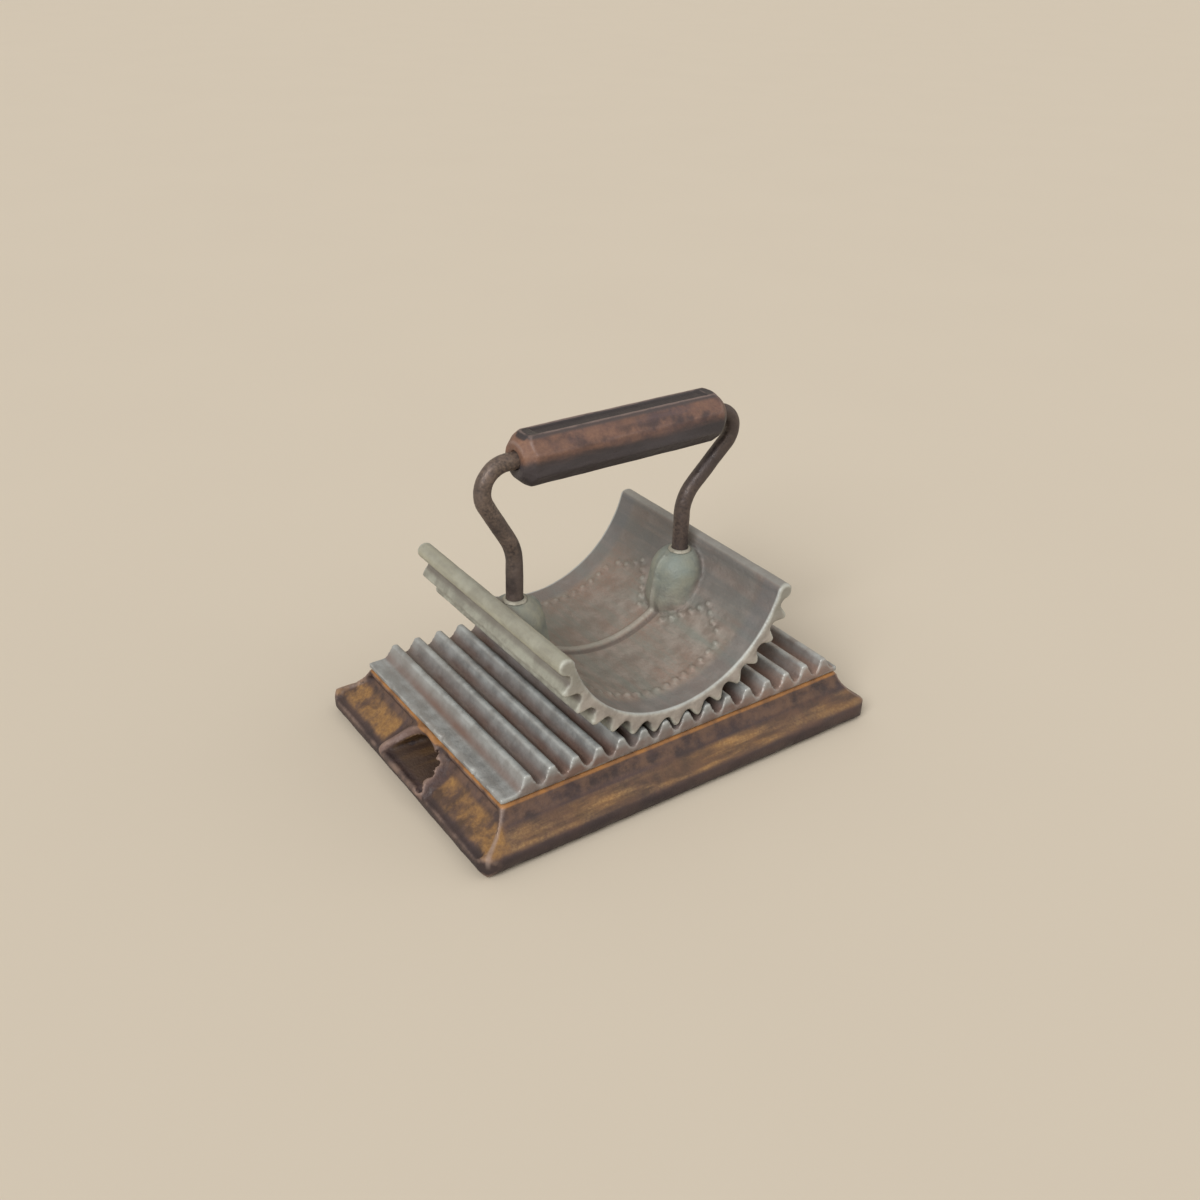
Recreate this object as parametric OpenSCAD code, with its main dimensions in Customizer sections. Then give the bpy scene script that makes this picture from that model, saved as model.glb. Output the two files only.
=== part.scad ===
// Rocker fluting iron: a toothed rocker with a bent rod handle rolls over the
// ridged bed of a heavy cast base, and crimps the cloth laid between them.
// X runs along the base, Y along the ridges, Z up from the table.

/* [Base] */
// Length of the base at its foot
base_l = 146; // [130:1:170]
// Width of the base at its foot
base_w = 102; // [94:1:124]
// Height of the base casting
base_h = 16.5; // [15:0.5:22]
// Setback of the top edge from the foot at the lifter end
end_setback = 10.5; // [9:0.5:13]
// Setback of the top edge from the foot at the plain end
plain_setback = 7.5; // [7:0.5:11]
// Setback of the top edge from the foot along the two sides
side_setback = 8.6; // [8:0.2:11]
// Radius of the rolled bead round the foot
bead_r = 4; // [3:0.25:4.5]
// Radius of the hollow cove above the bead
cove_r = 13; // [9:0.5:20]
// Radius of the rolled shoulder under the top edge
shoulder_r = 2.4; // [1.5:0.1:3]
// Radius of the four foot corners, seen from above
corner_r = 6; // [3:0.5:9]

/* [Lifter end] */
// Radius of the arched mouth of the lifter pocket
pocket_r = 12; // [9:0.5:14]
// Height of the centre of that arch above the table
pocket_arch_z = 2.4; // [1:0.2:4]
// Height of the pocket's flat floor above the table
pocket_floor_z = 6; // [5:0.25:8]
// Depth of the pocket from the end of the foot
pocket_depth = 24; // [18:1:30]
// Share of the mouth's size left at the back of the pocket
pocket_taper = 0.7; // [0.5:0.05:0.95]
// Width of the plain rim round the mouth
pocket_rim = 3; // [2:0.25:5]
// Depth of the two sunken panels beside the pocket
panel_depth = 1.8; // [0.6:0.1:2.4]
// Height of the panels' lower edge above the table
panel_low_z = 5.6; // [5:0.2:8]
// Distance of the panels' upper edge below the top of the base
panel_top_drop = 1.9; // [1.5:0.1:4]
// Distance of the panels from the hips of the base
panel_hip_gap = 3.2; // [2.8:0.2:6]
// Share of the side setback by which the panels widen towards the foot
panel_flare = 0.7; // [0.3:0.05:0.75]
// Radius of the panels' corners
panel_corner_r = 1.8; // [1:0.2:2.6]

/* [Underside] */
// Thickness of the deck over the hollow underside
deck_t = 7.5; // [5:0.5:10]
// Width of the foot left round the hollow along the sides
foot_w = 12; // [9:0.5:16]
// Width of the foot left at the plain end
foot_end_w = 14; // [10:0.5:20]
// Metal left between the pocket and the hollow
pocket_back_t = 6; // [4:0.5:10]
// Radius of the hollow's corners
hollow_corner_r = 6; // [2:0.5:10]

/* [Bed plate] */
// Distance of the plate's edge inside the top edge of the base
plate_inset = 0.5; // [0:0.1:2]
// Thickness of the plate at its two flat ends
plate_t = 1.7; // [1.4:0.1:2.4]
// Number of ridges
ridge_count = 15; // [13:2:15]
// Distance from one ridge to the next
ridge_pitch = 8; // [7.4:0.05:8.2]
// Where the middle ridge lies along the base
bed_x = 3; // [1:0.5:3.5]
// Height of a ridge above its valleys
ridge_h = 4.4; // [4:0.1:4.6]
// Radius of a ridge's crest
crest_r = 1.4; // [1.1:0.05:1.5]
// Radius of a valley's floor
valley_r = 1.7; // [1.5:0.05:1.8]
// Height of the valley floors above the flat ends
valley_lift = 0.2; // [0.1:0.1:0.6]
// Height of the plate's upright edge below the sloped ends of the ridges
plate_edge_h = 1.2; // [0.8:0.1:1.8]
// Length over which a ridge's end slopes down
ridge_bevel = 0.8; // [0.6:0.1:2]

/* [Bed screws] */
// Radius of a screw's shank
screw_r = 1.6; // [1.2:0.1:1.8]
// Radius of a screw's head
screw_head_r = 3.2; // [2.6:0.1:4]
// Height of a screw's head
screw_head_h = 2.2; // [1.5:0.1:3]
// Width of the slot in a screw's head
screw_slot_w = 0.9; // [0.6:0.1:1.2]
// Depth of that slot
screw_slot_d = 1; // [0.6:0.1:1.3]
// How far a screw reaches into the plate
screw_grip = 3; // [2:0.1:3.2]
// Ridges from the middle of the bed to each pair of screws
screw_ridges = 4; // [2:1:4]
// Distance of the screws from the middle line
screw_y = 30; // [20:1:34]

/* [Rocker] */
// How far each end of the rocker stays inside the edge of the bed
rocker_end_gap = 0.4; // [0:0.1:12]
// Where the rocker sits along the ridges, from the middle of the bed
rocker_y = 0; // [-2:0.5:2]
// Radius of the rocker's hollow inside
rocker_inner_r = 38.5; // [38:0.5:44]
// Wall between the inside and the roots of the teeth
rocker_wall = 2.7; // [2.4:0.1:4]
// Height of a tooth outside its rolling line
tooth_add = 1.9; // [1.6:0.05:2]
// Depth of a tooth space inside the rolling line
tooth_ded = 2.2; // [2:0.05:2.4]
// Radius of a tooth's crest
tooth_crest_r = 1.15; // [0.9:0.05:1.25]
// Radius of a tooth space's floor
tooth_valley_r = 1.8; // [1.6:0.05:1.9]
// Radius of the rounded lips along the two top edges
lip_r = 2.6; // [2.5:0.1:3.2]
// How far the lips bulge into the hollow
lip_bulge = 0.15; // [0.1:0.05:0.6]
// Room for the cloth: lift of the teeth out of full mesh
cloth_gap = 0.9; // [0.8:0.05:1.2]
// Radius of the arched rib between the bosses
rib_r = 1.3; // [0.8:0.1:2]

/* [Bosses] */
// Distance of the middle of each boss from the side of the hollow
boss_inset = 7.5; // [6.5:0.5:9.5]
// Depth of the boss tops below the rolling axis
boss_drop = 12.4; // [11:0.2:16]
// Radius of a boss near its top
boss_top_r = 9.2; // [7:0.2:9.6]
// Radius of a boss at its root
boss_root_r = 10.5; // [10:0.25:11]
// Height from the centre of the root to that of the top
boss_rise = 7.5; // [6:0.5:9]
// Radius of the flat seat on a boss
boss_seat_r = 4.6; // [4.2:0.1:5]
// Depth of the socket for the rod
socket_depth = 10; // [6:0.5:11]

/* [Handle rod] */
// Radius of the bent rod
rod_r = 2.6; // [2:0.1:2.8]
// Height of the grip's axis above the rolling axis
grip_rise = 32; // [28:0.5:38]
// How far the left leg bulges outside its boss
left_bulge = 10; // [8:0.5:14]
// Slope of the left leg
left_slope = 30; // [25:1:45]
// Radius of the left leg's lower bend
left_low_bend = 16; // [10:0.5:18]
// Radius of the left leg's upper bend
left_top_bend = 8; // [6:0.5:9]
// How far the right leg bulges outside its boss
right_bulge = 18; // [13:0.5:19]
// Slope of the right leg
right_slope = 46; // [38:1:52]
// Radius of the right leg's lower bend
right_low_bend = 14; // [8:0.5:15]
// Radius of the right leg's upper bend
right_top_bend = 6; // [5.5:0.5:8]

/* [Foot rings] */
// Width of the solder ring round each foot of the rod
ring_w = 1.3; // [0.8:0.1:1.4]
// Height of that ring
ring_h = 0.9; // [0.5:0.1:1.5]

/* [Grip] */
// Distance across the flats of the eight-sided grip
grip_flats = 15.4; // [14:0.2:18]
// Bare rod between the left bend and the end of the grip
grip_left_gap = 2.5; // [1:0.25:5]
// Bare rod between the right bend and the end of the grip
grip_right_gap = 0.8; // [0.4:0.1:3]
// Length of the sloped shoulder at each end of the grip
grip_shoulder = 3.6; // [2:0.2:6]
// Radius of the flat face at each end of the grip
grip_end_r = 5.2; // [4.6:0.1:6]
// Thickness of the wall round the grip's hollow core
grip_wall = 2.6; // [1.8:0.1:3.4]
// Thickness of the hollow grip's two ends
grip_end_t = 7; // [5:0.5:10]
// Width of the sunken panel along the top flat
grip_panel_w = 5; // [3:0.2:5.4]
// Distance of that panel from the ends of the grip
grip_panel_gap = 6; // [5:0.5:15]
// Depth of that panel
grip_panel_depth = 0.7; // [0.3:0.1:1.2]

/* [Grip pin] */
// Radius of the cross pin that keeps the grip from turning
pin_r = 1.2; // [0.8:0.1:1.5]
// Depth of the pin's end below the back flat of the grip
pin_sunk = 0.3; // [0.1:0.1:1]
// Rod left uncut beyond the pin
pin_web = 0.6; // [0.4:0.1:1]

/* [Fits] */
// Radial room of the rod in its sockets and in the grip
rod_fit = 0.05; // [0.02:0.01:0.1]
// Radial room round the pin and the screw shanks
pin_fit = 0.05; // [0.02:0.01:0.1]
// End room beyond the pin and the screws
end_room = 0.3; // [0.2:0.05:0.6]

/* [Hidden] */
$fn = 64;
over = 1;
// A rod draws in a little where it is bent, and its straight stretches lap the bends
bend_thin = 0.04;
bend_lap = 0.3;
// The cone of a boss lies a hair inside its two balls
cone_sink = 0.03;
// The straight flanks of ridges and teeth lie a hair inside their round crests and floors
flank_sink = 0.02;
// The cove bites a hair into the bead and the shoulder
cove_sink = 0.02;

top_w = base_w - 2 * side_setback;
plate_left = -base_l / 2 + end_setback + plate_inset;
plate_right = base_l / 2 - plain_setback - plate_inset;
plate_w = top_w - 2 * plate_inset;
margin_z = base_h + plate_t;
valley_z = margin_z + valley_lift;
crest_z = valley_z + ridge_h;
crest_centre_z = crest_z - crest_r;
ridge_reach = (ridge_count - 1) / 2 * ridge_pitch;
ridge_x = [for (i = [0:ridge_count - 1]) bed_x + i * ridge_pitch - ridge_reach];
screw_x = screw_ridges * ridge_pitch;
deck_z = base_h - deck_t;

rocker_w = plate_w - 2 * rocker_end_gap;
roll_r = rocker_inner_r + rocker_wall + tooth_ded;
roll_z = crest_z - ridge_h / 2 + roll_r + cloth_gap;
// The middle tooth lies over the valley beside the middle ridge
rocker_x = bed_x - ridge_pitch / 2;
tooth_count = ridge_count;
tooth_step = ridge_pitch / roll_r * 180 / PI;
tip_r = roll_r + tooth_add;
tooth_centre_r = tip_r - tooth_crest_r;
space_centre_r = roll_r - tooth_ded + tooth_valley_r;
lip_angle = (tooth_count - 1) / 2 * tooth_step;
lip_centre_r = rocker_inner_r - lip_bulge + lip_r;

boss_x = rocker_inner_r - boss_inset;
boss_top_z = roll_z - boss_drop;
boss_crown_z = boss_top_z - sqrt(boss_top_r * boss_top_r - boss_seat_r * boss_seat_r);
boss_root_z = boss_crown_z - boss_rise;
grip_z = roll_z + grip_rise;
grip_r = grip_flats / 2 / cos(22.5);
grip_left = -(boss_x + left_bulge - left_top_bend) + grip_left_gap;
grip_right = boss_x + right_bulge - right_top_bend - grip_right_gap;
pin_hole_end = -rod_r + pin_web;

// Length of the straight, sloped stretch of a leg
function slope_l(bulge, slope, low, top) =
    (bulge - (low + top) * (1 - cos(slope))) / sin(slope);
// Height at which a leg starts to bend
function bend_z(bulge, slope, low, top) =
    grip_z - top - (low + top) * sin(slope) - slope_l(bulge, slope, low, top) * cos(slope);

// Direction from a crest's centre to its flank, where the flank also meets
// the valley circle that lies run across and drop down from the crest
function flank_turn(run, drop, crest, valley) =
    atan2(-drop, run) + acos((crest + valley) / norm([run, drop]));
function arm(r, a) = [r * cos(a), r * sin(a)];
function flank_foot(run, drop, valley, a) = [run, -drop] - arm(valley, a);
function mirrored(p) = [-p[0], p[1]];

// Where the circles of radius r1 round p1 and r2 round p2 cross, left of the way from p1 to p2
function crossing(p1, r1, p2, r2) =
    let (d = norm(p2 - p1),
         u = (p2 - p1) / d,
         t = (d * d + r1 * r1 - r2 * r2) / (2 * d))
    p1 + t * u + sqrt(r1 * r1 - t * t) * [-u[1], u[0]];
function toward(p, q, r) = p + r * (q - p) / norm(q - p);

module disc(p, r) {
    translate(p) circle(r);
}

// One half of the moulded side of the base: bead, cove and shoulder, each tangent to the next
module half_moulding(half, setback) {
    bead = [half - bead_r, bead_r];
    shoulder = [half - setback - shoulder_r, base_h - shoulder_r];
    cove = crossing(bead, bead_r + cove_r, shoulder, shoulder_r + cove_r);
    cove_out = crossing(shoulder, shoulder_r + cove_r, bead, bead_r + cove_r);
    hollow = cove[0] > cove_out[0] ? cove : cove_out;
    difference() {
        union() {
            polygon([[0, 0], [bead[0], 0], bead, toward(bead, hollow, bead_r),
                     toward(shoulder, hollow, shoulder_r), shoulder,
                     [shoulder[0], base_h], [0, base_h]]);
            disc(bead, bead_r);
            disc(shoulder, shoulder_r);
        }
        disc(hollow, cove_r + cove_sink);
    }
}

module moulding(half, left_setback, right_setback) {
    half_moulding(half, right_setback);
    mirror([1, 0]) half_moulding(half, left_setback);
}

module rounded_slab(l, w, r) {
    square([l - 2 * r, w], center = true);
    square([l, w - 2 * r], center = true);
    for (sx = [-1, 1], sy = [-1, 1]) disc([sx * (l / 2 - r), sy * (w / 2 - r)], r);
}

// The moulding of the two ends drawn right across the base
module end_moulding() {
    rotate([90, 0, 0]) linear_extrude(base_w + 2 * over, center = true)
        moulding(base_l / 2, end_setback, plain_setback);
}

module moulded_block() {
    intersection() {
        end_moulding();
        rotate([90, 0, 90]) linear_extrude(base_l + 2 * over, center = true)
            moulding(base_w / 2, side_setback, side_setback);
        linear_extrude(base_h) rounded_slab(base_l, base_w, corner_r);
    }
}

// Arched outline of the pocket's mouth, widened all round by a rim
module pocket_outline(rim) {
    intersection() {
        disc([0, pocket_arch_z], pocket_r + rim);
        translate([-pocket_r - rim, pocket_floor_z - rim])
            square([2 * (pocket_r + rim), pocket_r + 2 * rim]);
    }
}

module pocket() {
    middle_z = (pocket_floor_z + pocket_arch_z + pocket_r) / 2;
    translate([-base_l / 2, 0, middle_z]) rotate([90, 0, 90])
        linear_extrude(pocket_depth, scale = pocket_taper)
            translate([0, -middle_z]) pocket_outline(0);
}

// One sunken panel, cut to the shape of the end moulding moved inwards
module end_panel() {
    high = base_h - panel_top_drop - panel_corner_r;
    low = panel_low_z + panel_corner_r;
    far_high = top_w / 2 - panel_hip_gap;
    far_low = far_high + side_setback * panel_flare;
    difference() {
        translate([-base_l / 2 - over, 0, 0]) rotate([90, 0, 90])
            linear_extrude(end_setback + panel_depth + 2 * over) difference() {
                hull() for (p = [[0, low], [far_low, low], [far_high, high], [0, high]])
                    translate(p) circle(panel_corner_r, $fn = 32);
                pocket_outline(pocket_rim);
            }
        translate([panel_depth, 0, 0]) end_moulding();
    }
}

module underside() {
    back_x = -base_l / 2 + pocket_depth + pocket_back_t;
    front_x = base_l / 2 - foot_end_w;
    translate([(back_x + front_x) / 2, 0, -over]) linear_extrude(deck_z + over)
        rounded_slab(front_x - back_x, base_w - 2 * foot_w, hollow_corner_r);
}

module at_screws() {
    for (sx = [-1, 1], sy = [-1, 1]) translate([bed_x + sx * screw_x, sy * screw_y, 0]) children();
}

module base_casting() {
    color([0.36, 0.22, 0.11]) difference() {
        moulded_block();
        pocket();
        end_panel();
        mirror([0, 1, 0]) end_panel();
        underside();
        at_screws() cylinder(h = base_h + over, r = screw_r + pin_fit);
    }
}

// Outline of the ridges' flanks and of the flat ends beside them, from the underside of the plate up
module ridge_outline() {
    run = ridge_pitch / 2;
    drop = ridge_h - crest_r - valley_r;
    turn = flank_turn(run, drop, crest_r - flank_sink, valley_r - flank_sink);
    neck = arm(crest_r - flank_sink, turn);
    foot = flank_foot(run, drop, valley_r - flank_sink, turn);
    left = bed_x - ridge_reach - run;
    right = bed_x + ridge_reach + run;
    foot_z = crest_centre_z + foot[1];
    spots = [for (x = ridge_x) [x, crest_centre_z]];
    flanks = [for (c = spots) each [c + mirrored(foot), c + mirrored(neck), c + neck, c + foot]];
    difference() {
        polygon(concat([[plate_left, base_h], [plate_left, margin_z], [left, margin_z], [left, foot_z]],
                       flanks,
                       [[right, foot_z], [right, margin_z], [plate_right, margin_z], [plate_right, base_h]]));
        for (c = spots) disc(c + [run, -drop], valley_r);
        disc(spots[0] - [run, drop], valley_r);
    }
}

// The plate seen from its end: an upright edge, then the sloped ends of the ridges
module plate_profile() {
    half = plate_w / 2;
    edge_z = base_h + plate_edge_h;
    polygon([[-half, base_h], [half, base_h], [half, edge_z], [half - ridge_bevel, crest_z + over],
             [ridge_bevel - half, crest_z + over], [-half, edge_z]]);
}

module bed_plate() {
    color([0.47, 0.49, 0.48]) difference() {
        intersection() {
            union() {
                rotate([90, 0, 0]) linear_extrude(plate_w + 2 * over, center = true) ridge_outline();
                for (x = ridge_x) translate([x, 0, crest_centre_z]) rotate([90, 0, 0])
                    cylinder(h = plate_w + 2 * over, r = crest_r, center = true);
            }
            rotate([90, 0, 90]) linear_extrude(base_l, center = true) plate_profile();
        }
        at_screws() translate([0, 0, base_h - over])
            cylinder(h = over + screw_grip + end_room, r = screw_r + pin_fit);
    }
}

module bed_screw() {
    under_z = deck_z - screw_head_h;
    difference() {
        union() {
            translate([0, 0, under_z]) cylinder(h = screw_head_h, r = screw_head_r);
            translate([0, 0, deck_z]) cylinder(h = deck_t + screw_grip, r = screw_r);
        }
        translate([-screw_head_r - over, -screw_slot_w / 2, under_z - over])
            cube([2 * (screw_head_r + over), screw_slot_w, over + screw_slot_d]);
    }
}

module bed_screws() {
    color([0.30, 0.27, 0.25]) at_screws() bed_screw();
}

// Point at radius r and tooth angle a, seen from the rolling axis with the bottom at angle 0
function spoke(r, a) = [r * sin(a), -r * cos(a)];
// A point of a tooth drawn about its crest's centre, put in its place on the rocker
function on_tooth(p, a) = spoke(tooth_centre_r + p[1], a) + p[0] * [cos(a), sin(a)];

module rocker_outline() {
    run = space_centre_r * sin(tooth_step / 2);
    drop = tooth_centre_r - space_centre_r * cos(tooth_step / 2);
    turn = flank_turn(run, drop, tooth_crest_r - flank_sink, tooth_valley_r - flank_sink);
    neck = arm(tooth_crest_r - flank_sink, turn);
    foot = flank_foot(run, drop, tooth_valley_r - flank_sink, turn);
    angles = [for (i = [0:tooth_count - 1]) i * tooth_step - lip_angle];
    whole = [for (i = [1:tooth_count - 2])
        each [for (p = [mirrored(foot), mirrored(neck), neck, foot]) on_tooth(p, angles[i])]];
    difference() {
        union() {
            polygon(concat([[0, 0], spoke(lip_centre_r, -lip_angle), on_tooth(foot, -lip_angle)],
                           whole,
                           [on_tooth(mirrored(foot), lip_angle), spoke(lip_centre_r, lip_angle)]));
            for (i = [1:tooth_count - 2]) disc(spoke(tooth_centre_r, angles[i]), tooth_crest_r);
        }
        disc([0, 0], rocker_inner_r);
        for (i = [0:tooth_count - 2])
            disc(spoke(space_centre_r, angles[i] + tooth_step / 2), tooth_valley_r);
    }
    for (a = [-lip_angle, lip_angle]) disc(spoke(lip_centre_r, a), lip_r);
}

// An egg-shaped boss round the rod's leg: a ball at the root, a ball at the top and a cone between
module egg() {
    lean = asin((boss_root_r - boss_top_r) / boss_rise);
    cone_h = boss_rise - (boss_root_r - boss_top_r) * sin(lean);
    difference() {
        union() {
            translate([0, 0, boss_root_z]) sphere(boss_root_r);
            translate([0, 0, boss_root_z + boss_root_r * sin(lean)])
                cylinder(h = cone_h, r1 = boss_root_r * cos(lean) - cone_sink,
                         r2 = boss_top_r * cos(lean) - cone_sink);
            translate([0, 0, boss_crown_z]) sphere(boss_top_r);
        }
        translate([-boss_root_r, -boss_root_r, boss_top_z]) cube(2 * boss_root_r);
    }
}

module at_rocker(z) {
    translate([rocker_x, rocker_y, z]) children();
}

module at_feet() {
    for (sx = [-1, 1]) at_rocker(boss_top_z) translate([sx * boss_x, 0, 0]) children();
}

// One boss, cut off round inside the wall that carries it
module boss(sx) {
    intersection() {
        at_rocker(0) translate([sx * boss_x, 0, 0]) egg();
        at_rocker(roll_z) rotate([90, 0, 0])
            cylinder(h = 4 * boss_root_r, r = rocker_inner_r + rocker_wall * 0.35, center = true);
    }
}

module rocker_plate() {
    color([0.45, 0.46, 0.41]) difference() {
        union() {
            at_rocker(roll_z) rotate([90, 0, 0])
                linear_extrude(rocker_w, center = true) rocker_outline();
            for (sx = [-1, 1]) boss(sx);
            at_rocker(roll_z) rotate([90, 0, 0]) rotate([0, 0, -90 - lip_angle / 2])
                rotate_extrude(angle = lip_angle) disc([rocker_inner_r, 0], rib_r);
        }
        at_feet() translate([0, 0, -socket_depth])
            cylinder(h = socket_depth + over, r = rod_r + rod_fit);
    }
}

// A bend of the rod in its upright plane, round the point c, from angle a1 to angle a2
module bend(c, r, a1, a2) {
    translate([c[0], 0, c[1]]) rotate([90, 0, 0]) rotate([0, 0, a1])
        rotate_extrude(angle = a2 - a1) disc([r, 0], rod_r - bend_thin);
}

// A straight stretch of the rod, lapped a little way over the bends at its ends
module stretch(h, start_lap, end_lap) {
    translate([0, 0, -start_lap]) cylinder(h = h + start_lap + end_lap, r = rod_r);
}

// One leg of the rod: up from its socket, out along a slope and back in to the grip's axis
module leg(bulge, slope, low, top) {
    foot_z = boss_top_z - socket_depth + end_room;
    start_z = bend_z(bulge, slope, low, top);
    run = slope_l(bulge, slope, low, top);
    p1 = [boss_x + low * (1 - cos(slope)), start_z + low * sin(slope)];
    p2 = p1 + run * [sin(slope), cos(slope)];
    translate([boss_x, 0, foot_z]) stretch(start_z - foot_z, 0, bend_lap);
    bend([boss_x + low, start_z], low, 180 - slope, 180);
    translate([p1[0], 0, p1[1]]) rotate([0, slope, 0]) stretch(run, bend_lap, bend_lap);
    bend(p2 + top * [-cos(slope), sin(slope)], top, -slope, 90);
}

module handle_rod() {
    left_x = -(boss_x + left_bulge - left_top_bend);
    right_x = boss_x + right_bulge - right_top_bend;
    color([0.24, 0.19, 0.18]) at_rocker(0) difference() {
        union() {
            mirror([1, 0, 0]) leg(left_bulge, left_slope, left_low_bend, left_top_bend);
            leg(right_bulge, right_slope, right_low_bend, right_top_bend);
            translate([left_x, 0, grip_z]) rotate([0, 90, 0]) stretch(right_x - left_x, bend_lap, bend_lap);
        }
        translate([0, pin_hole_end, grip_z]) rotate([-90, 0, 0])
            cylinder(h = 2 * rod_r, r = pin_r + pin_fit);
    }
}

module foot_rings() {
    color([0.60, 0.58, 0.50]) at_feet() rotate_extrude()
        polygon([[rod_r + rod_fit, 0], [rod_r + rod_fit + ring_w, 0],
                 [rod_r + rod_fit + ring_w / 2, ring_h * 0.8], [rod_r + rod_fit, ring_h]]);
}

// The grip's round limit, which slopes its two ends, drawn round the axis of the grip
module grip_limit() {
    reach = grip_r + over;
    slope = grip_shoulder * (reach - grip_end_r) / (grip_r - grip_end_r);
    rotate([0, 90, 0]) rotate_extrude()
        polygon([[0, grip_left], [grip_end_r, grip_left], [reach, grip_left + slope],
                 [reach, grip_right - slope], [grip_end_r, grip_right], [0, grip_right]]);
}

module grip() {
    grip_l = grip_right - grip_left;
    panel_l = grip_l - 2 * grip_panel_gap;
    color([0.30, 0.17, 0.12]) at_rocker(grip_z) difference() {
        intersection() {
            translate([grip_left, 0, 0]) rotate([0, 90, 0]) rotate([0, 0, 22.5])
                cylinder(h = grip_l, r = grip_r, $fn = 8);
            grip_limit();
        }
        translate([grip_left - over, 0, 0]) rotate([0, 90, 0])
            cylinder(h = grip_l + 2 * over, r = rod_r + rod_fit);
        translate([grip_left + grip_end_t, 0, 0]) rotate([0, 90, 0])
            cylinder(h = grip_l - 2 * grip_end_t, r = grip_flats / 2 - grip_wall);
        translate([grip_left + grip_panel_gap, -grip_panel_w / 2, grip_flats / 2 - grip_panel_depth])
            cube([panel_l, grip_panel_w, grip_panel_depth + over]);
        rotate([-90, 0, 0]) cylinder(h = grip_flats, r = pin_r + pin_fit);
    }
}

module grip_pin() {
    start = pin_hole_end + end_room;
    color([0.35, 0.30, 0.27]) at_rocker(grip_z) translate([0, start, 0]) rotate([-90, 0, 0])
        cylinder(h = grip_flats / 2 - pin_sunk - start, r = pin_r);
}

base_casting();
bed_plate();
bed_screws();
rocker_plate();
handle_rod();
foot_rings();
grip();
grip_pin();
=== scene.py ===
"""Looks of the rocker fluting iron: old rusted castings, a bent bar and soft daylight on a pale table."""

import math

import bpy
from mathutils import Matrix, Vector


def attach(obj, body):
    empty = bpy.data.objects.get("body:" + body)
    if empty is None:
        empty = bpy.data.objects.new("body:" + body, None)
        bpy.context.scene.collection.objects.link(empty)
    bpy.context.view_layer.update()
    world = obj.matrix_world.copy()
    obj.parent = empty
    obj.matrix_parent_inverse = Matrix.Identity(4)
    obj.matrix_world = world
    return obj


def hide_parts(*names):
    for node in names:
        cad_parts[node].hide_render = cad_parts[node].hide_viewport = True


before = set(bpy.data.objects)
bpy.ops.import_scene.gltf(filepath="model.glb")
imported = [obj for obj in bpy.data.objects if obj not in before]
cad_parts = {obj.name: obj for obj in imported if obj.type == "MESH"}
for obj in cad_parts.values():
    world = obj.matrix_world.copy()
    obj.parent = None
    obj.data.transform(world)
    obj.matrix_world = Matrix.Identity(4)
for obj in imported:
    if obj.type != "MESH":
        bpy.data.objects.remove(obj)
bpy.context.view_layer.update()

MM = 0.001

# Places and sizes on the iron, in millimetres
BASE_HALF_L, BASE_HALF_W = 73.0, 51.0
LIFTER_END_RUN, PLAIN_END_RUN, SIDE_RUN = 10.5, 7.5, 8.6  # how far the moulding runs out past the bed
FOOT_Z = 0.6
MOUTH_R, MOUTH_Z = 13.2, 2.4  # arched mouth of the lifter pocket
MOUTH_HALF_ANGLE = 76  # degrees from its top to its sill
MOUTH_ROLL_R = 1.2
BED_EDGE_X, BED_TOP_Z = -62.2, 18.4
RAY_START_X = -200  # well outside the lifter end
ROCKER_X = -1.0
ROLL_Z = 64.9
INNER_R = 38.5
BEAD_R, BEAD_STEP, BEAD_RAISE, BEAD_FLATTEN = 1.3, 3.6, 0.1, 0.7
# Corners of half a bead border: degrees from the bottom of the hollow, millimetres from its middle
BORDER_HALF = [(32, 6), (51, 17.5), (45, 23), (43, 26.5), (37.5, 29.5), (0, 31)]
BOSS_X = 31.0
BOSS_ROOT, BOSS_CROWN = (37.03, 10.5), (44.53, 9.2)  # height and radius of a boss's two spheres
SEAM_R = 0.75
GRIP_Z = 96.9

# Damage: a place along the edge and the three half sizes of the chip that broke off there
MOUTH_DAMAGE = ((-69, (2.4, 1.6, 1.4)), (-57, (2.4, 1.4, 1.5)),
                (-46, (2.4, 1.7, 1.5)), (-34, (2.4, 1.2, 1.4)))
MOUTH_DAMAGE_INSET, MOUTH_DAMAGE_OUT = 0.6, 0.3
BED_DAMAGE = ((-38.5, (1.2, 2.4, 1.3)), (-32.0, (1.0, 1.6, 1.6)), (-26.0, (1.4, 1.3, 1.8)),
              (-17.0, (1.1, 3.6, 1.2)), (-6.5, (1.4, 1.5, 1.7)), (0.0, (1.0, 2.8, 1.1)),
              (11.5, (1.2, 4.2, 1.2)), (27.0, (1.1, 2.6, 1.4)))
DAMAGE_TURN = 0.7  # radians

# Camera: angles in degrees, lengths in millimetres
AZIMUTH, ELEVATION, LEAN = -35.39, 29.49, 1.48
AIM, DISTANCE, LENS = (1.25, 3.12, 40.79), 383.42, 36.27

TABLE, PALER_TABLE = (0.640, 0.560, 0.450), (0.655, 0.575, 0.462)
DAYLIGHT = (0.50, 0.49, 0.475)
FLAT_BEND = 0.5  # pointiness of a flat surface
EDGE_POLISH = 0.6  # how much less rough a rubbed edge is
SKIN_DEPTH = 0.4  # millimetres


def select_only(obj):
    bpy.ops.object.select_all(action="DESELECT")
    obj.select_set(True)
    bpy.context.view_layer.objects.active = obj


def edit(obj):
    select_only(obj)
    bpy.ops.object.mode_set(mode="EDIT")
    bpy.ops.mesh.select_all(action="SELECT")


def leave_edit():
    bpy.ops.object.mode_set(mode="OBJECT")


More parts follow.
